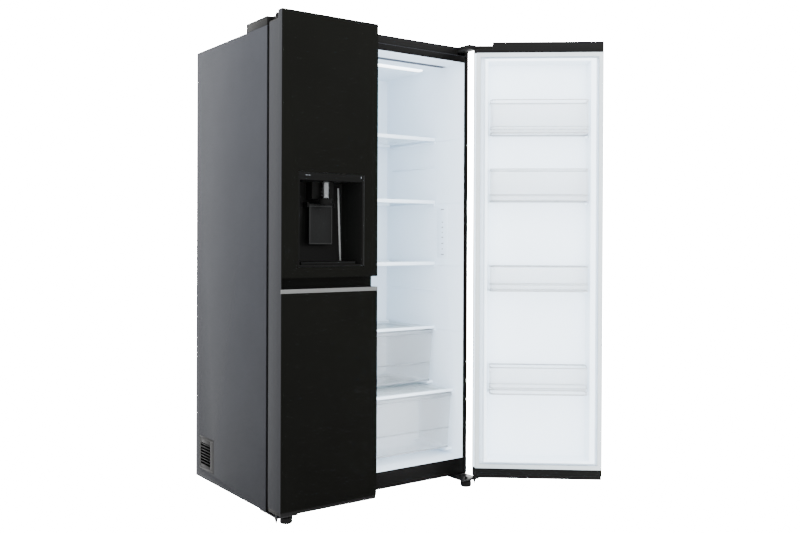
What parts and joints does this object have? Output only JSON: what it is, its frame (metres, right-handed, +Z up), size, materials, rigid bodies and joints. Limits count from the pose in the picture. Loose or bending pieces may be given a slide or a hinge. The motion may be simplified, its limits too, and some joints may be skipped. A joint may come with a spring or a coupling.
{
  "type": "side by side refrigerator",
  "caption": "Tall two-door refrigerator freezer with a water dispenser in the left door, the right door standing open on lit shelves, crispers and door bins.",
  "frame": {"origin": "middle of the whole object's box with the right door open, on the floor", "axes": "+X to the right seen from the front, +Y towards the back, +Z up"},
  "size_m": [1.329, 1.0608, 1.79],
  "materials": {
    "black_enamel": "black enamel",
    "black_front": "matt black painted steel",
    "black_plastic": "moulded, fine matt grain",
    "bright_trim": "brushed strip",
    "chrome": "polished",
    "clear_plastic": "clear moulding",
    "fin_metal": "thin fins",
    "foam": "rigid insulating foam",
    "glass": "clear toughened glass with a white moulded edge",
    "grey_rubber": "soft seal",
    "side_steel": "matt textured paint on the side and top sheet",
    "white_plastic": "smooth moulded lining, slight sheen",
    "zinc_steel": "zinc plated sheet"
  },
  "bodies": {
    "cabinet": {"base_frame": "zinc_steel", "bottom_hinge_left": "black_enamel", "bottom_hinge_right": "black_enamel", "cabinet_foam": "foam", "cabinet_shell": "side_steel", "ceiling_lamp": "clear_plastic", "compressor": "black_enamel", "condenser": "fin_metal", "evaporator": "fin_metal", "evaporator_cover": "white_plastic", "freezer_drawer": "clear_plastic", "freezer_liner": "white_plastic", "freezer_shelf": "glass", "fresh_food_duct": "white_plastic", "fresh_food_liner": "white_plastic", "front_frame": "black_front", "ice_bin": "clear_plastic", "ice_maker": "white_plastic", "lower_crisper_cover": "glass", "machine_room_cover": "black_enamel", "rear_panel": "zinc_steel", "side_vent_grille": "black_plastic", "top_hinge_cover": "black_plastic", "top_hinge_left": "zinc_steel", "top_hinge_right": "zinc_steel", "touch_panel": "white_plastic", "upper_crisper_cover": "glass"},
    "fridge_door": {"fridge_door_bottom_cap": "black_plastic", "fridge_door_gasket": "grey_rubber", "fridge_door_handle_trim": "bright_trim", "fridge_door_liner": "white_plastic", "fridge_door_skin": "black_front", "fridge_door_top_cap": "black_plastic"},
    "freezer_door": {"dispenser_housing": "black_plastic", "dispenser_nozzle": "chrome", "freezer_door_bottom_cap": "black_plastic", "freezer_door_gasket": "grey_rubber", "freezer_door_handle_trim": "bright_trim", "freezer_door_liner": "white_plastic", "freezer_door_skin": "black_front", "freezer_door_top_cap": "black_plastic"},
    "condenser_fan": {"condenser_fan": "black_plastic"},
    "dispenser_lever": {"dispenser_lever": "black_plastic"},
    "drip_tray": {"drip_tray": "black_plastic"},
    "evaporator_fan": {"evaporator_fan": "white_plastic"},
    "freezer_door_bin_1": {"freezer_door_bin_1": "clear_plastic"},
    "freezer_door_bin_2": {"freezer_door_bin_2": "clear_plastic"},
    "fridge_door_bin_1": {"fridge_door_bin_1": "clear_plastic"},
    "fridge_door_bin_2": {"fridge_door_bin_2": "clear_plastic"},
    "fridge_door_bin_3": {"fridge_door_bin_3": "clear_plastic"},
    "fridge_door_bin_4": {"fridge_door_bin_4": "clear_plastic"},
    "front_foot_left": {"front_foot_left": "black_plastic"},
    "front_foot_right": {"front_foot_right": "black_plastic"},
    "glass_shelf_1": {"glass_shelf_1": "glass"},
    "glass_shelf_2": {"glass_shelf_2": "glass"},
    "glass_shelf_3": {"glass_shelf_3": "glass"},
    "lower_crisper": {"lower_crisper": "clear_plastic"},
    "rear_roller_left": {"rear_roller_left": "black_plastic"},
    "rear_roller_right": {"rear_roller_right": "black_plastic"},
    "upper_crisper": {"upper_crisper": "clear_plastic"}
  },
  "joints": [
    {"name": "fridge_door_hinge", "type": "hinge", "parent": "cabinet", "child": "fridge_door", "pos_m": [0.2435, -0.15562, 0.9], "axis": [0, 0, 1], "range_deg": [-140.3, 5]},
    {"name": "freezer_door_hinge", "type": "hinge", "parent": "cabinet", "child": "freezer_door", "pos_m": [-0.6545, -0.15562, 0.9], "axis": [0, 0, -1], "range_deg": [0, 140]},
    {"name": "upper_crisper_slide", "type": "slide", "parent": "cabinet", "child": "upper_crisper", "axis": [0, -1, 0], "range_m": [0, 0.25]},
    {"name": "lower_crisper_slide", "type": "slide", "parent": "cabinet", "child": "lower_crisper", "axis": [0, -1, 0], "range_m": [0, 0.12]},
    {"name": "glass_shelf_1_slide", "type": "slide", "parent": "cabinet", "child": "glass_shelf_1", "axis": [0, -1, 0], "range_m": [0, 0.15]},
    {"name": "glass_shelf_2_slide", "type": "slide", "parent": "cabinet", "child": "glass_shelf_2", "axis": [0, -1, 0], "range_m": [0, 0.15]},
    {"name": "glass_shelf_3_slide", "type": "slide", "parent": "cabinet", "child": "glass_shelf_3", "axis": [0, -1, 0], "range_m": [0, 0.15]},
    {"name": "freezer_door_bin_1_lift", "type": "slide", "parent": "freezer_door", "child": "freezer_door_bin_1", "axis": [0, 0, 1], "range_m": [0, 0.03]},
    {"name": "freezer_door_bin_2_lift", "type": "slide", "parent": "freezer_door", "child": "freezer_door_bin_2", "axis": [0, 0, 1], "range_m": [0, 0.03]},
    {"name": "fridge_door_bin_1_lift", "type": "slide", "parent": "fridge_door", "child": "fridge_door_bin_1", "axis": [0, 0, 1], "range_m": [0, 0.03]},
    {"name": "fridge_door_bin_2_lift", "type": "slide", "parent": "fridge_door", "child": "fridge_door_bin_2", "axis": [0, 0, 1], "range_m": [0, 0.03]},
    {"name": "fridge_door_bin_3_lift", "type": "slide", "parent": "fridge_door", "child": "fridge_door_bin_3", "axis": [0, 0, 1], "range_m": [0, 0.03]},
    {"name": "fridge_door_bin_4_lift", "type": "slide", "parent": "fridge_door", "child": "fridge_door_bin_4", "axis": [0, 0, 1], "range_m": [0, 0.03]},
    {"name": "dispenser_lever_pivot", "type": "hinge", "parent": "freezer_door", "child": "dispenser_lever", "pos_m": [-0.4645, -0.12562, 1.122], "axis": [1, 0, 0], "range_deg": [0, 8], "stiffness_Nm_per_rad": 0.6},
    {"name": "drip_tray_slide", "type": "slide", "parent": "freezer_door", "child": "drip_tray", "axis": [0, -1, 0], "range_m": [0, 0.06]},
    {"name": "front_foot_left_turn", "type": "hinge", "parent": "cabinet", "child": "front_foot_left", "pos_m": [-0.6135, -0.15062, 0], "axis": [0, 0, 1], "continuous": true},
    {"name": "rear_roller_left_spin", "type": "hinge", "parent": "cabinet", "child": "rear_roller_left", "pos_m": [-0.6045, 0.45538, 0.02], "axis": [1, 0, 0], "continuous": true},
    {"name": "front_foot_right_turn", "type": "hinge", "parent": "cabinet", "child": "front_foot_right", "pos_m": [0.2025, -0.15062, 0], "axis": [0, 0, 1], "continuous": true},
    {"name": "rear_roller_right_spin", "type": "hinge", "parent": "cabinet", "child": "rear_roller_right", "pos_m": [0.1935, 0.45538, 0.02], "axis": [1, 0, 0], "continuous": true},
    {"name": "condenser_fan_spin", "type": "hinge", "parent": "cabinet", "child": "condenser_fan", "pos_m": [-0.1705, 0.38888, 0.1268], "axis": [0, 1, 0], "continuous": true},
    {"name": "evaporator_fan_spin", "type": "hinge", "parent": "cabinet", "child": "evaporator_fan", "pos_m": [-0.46775, 0.42938, 0.86], "axis": [0, 1, 0], "continuous": true}
  ]
}
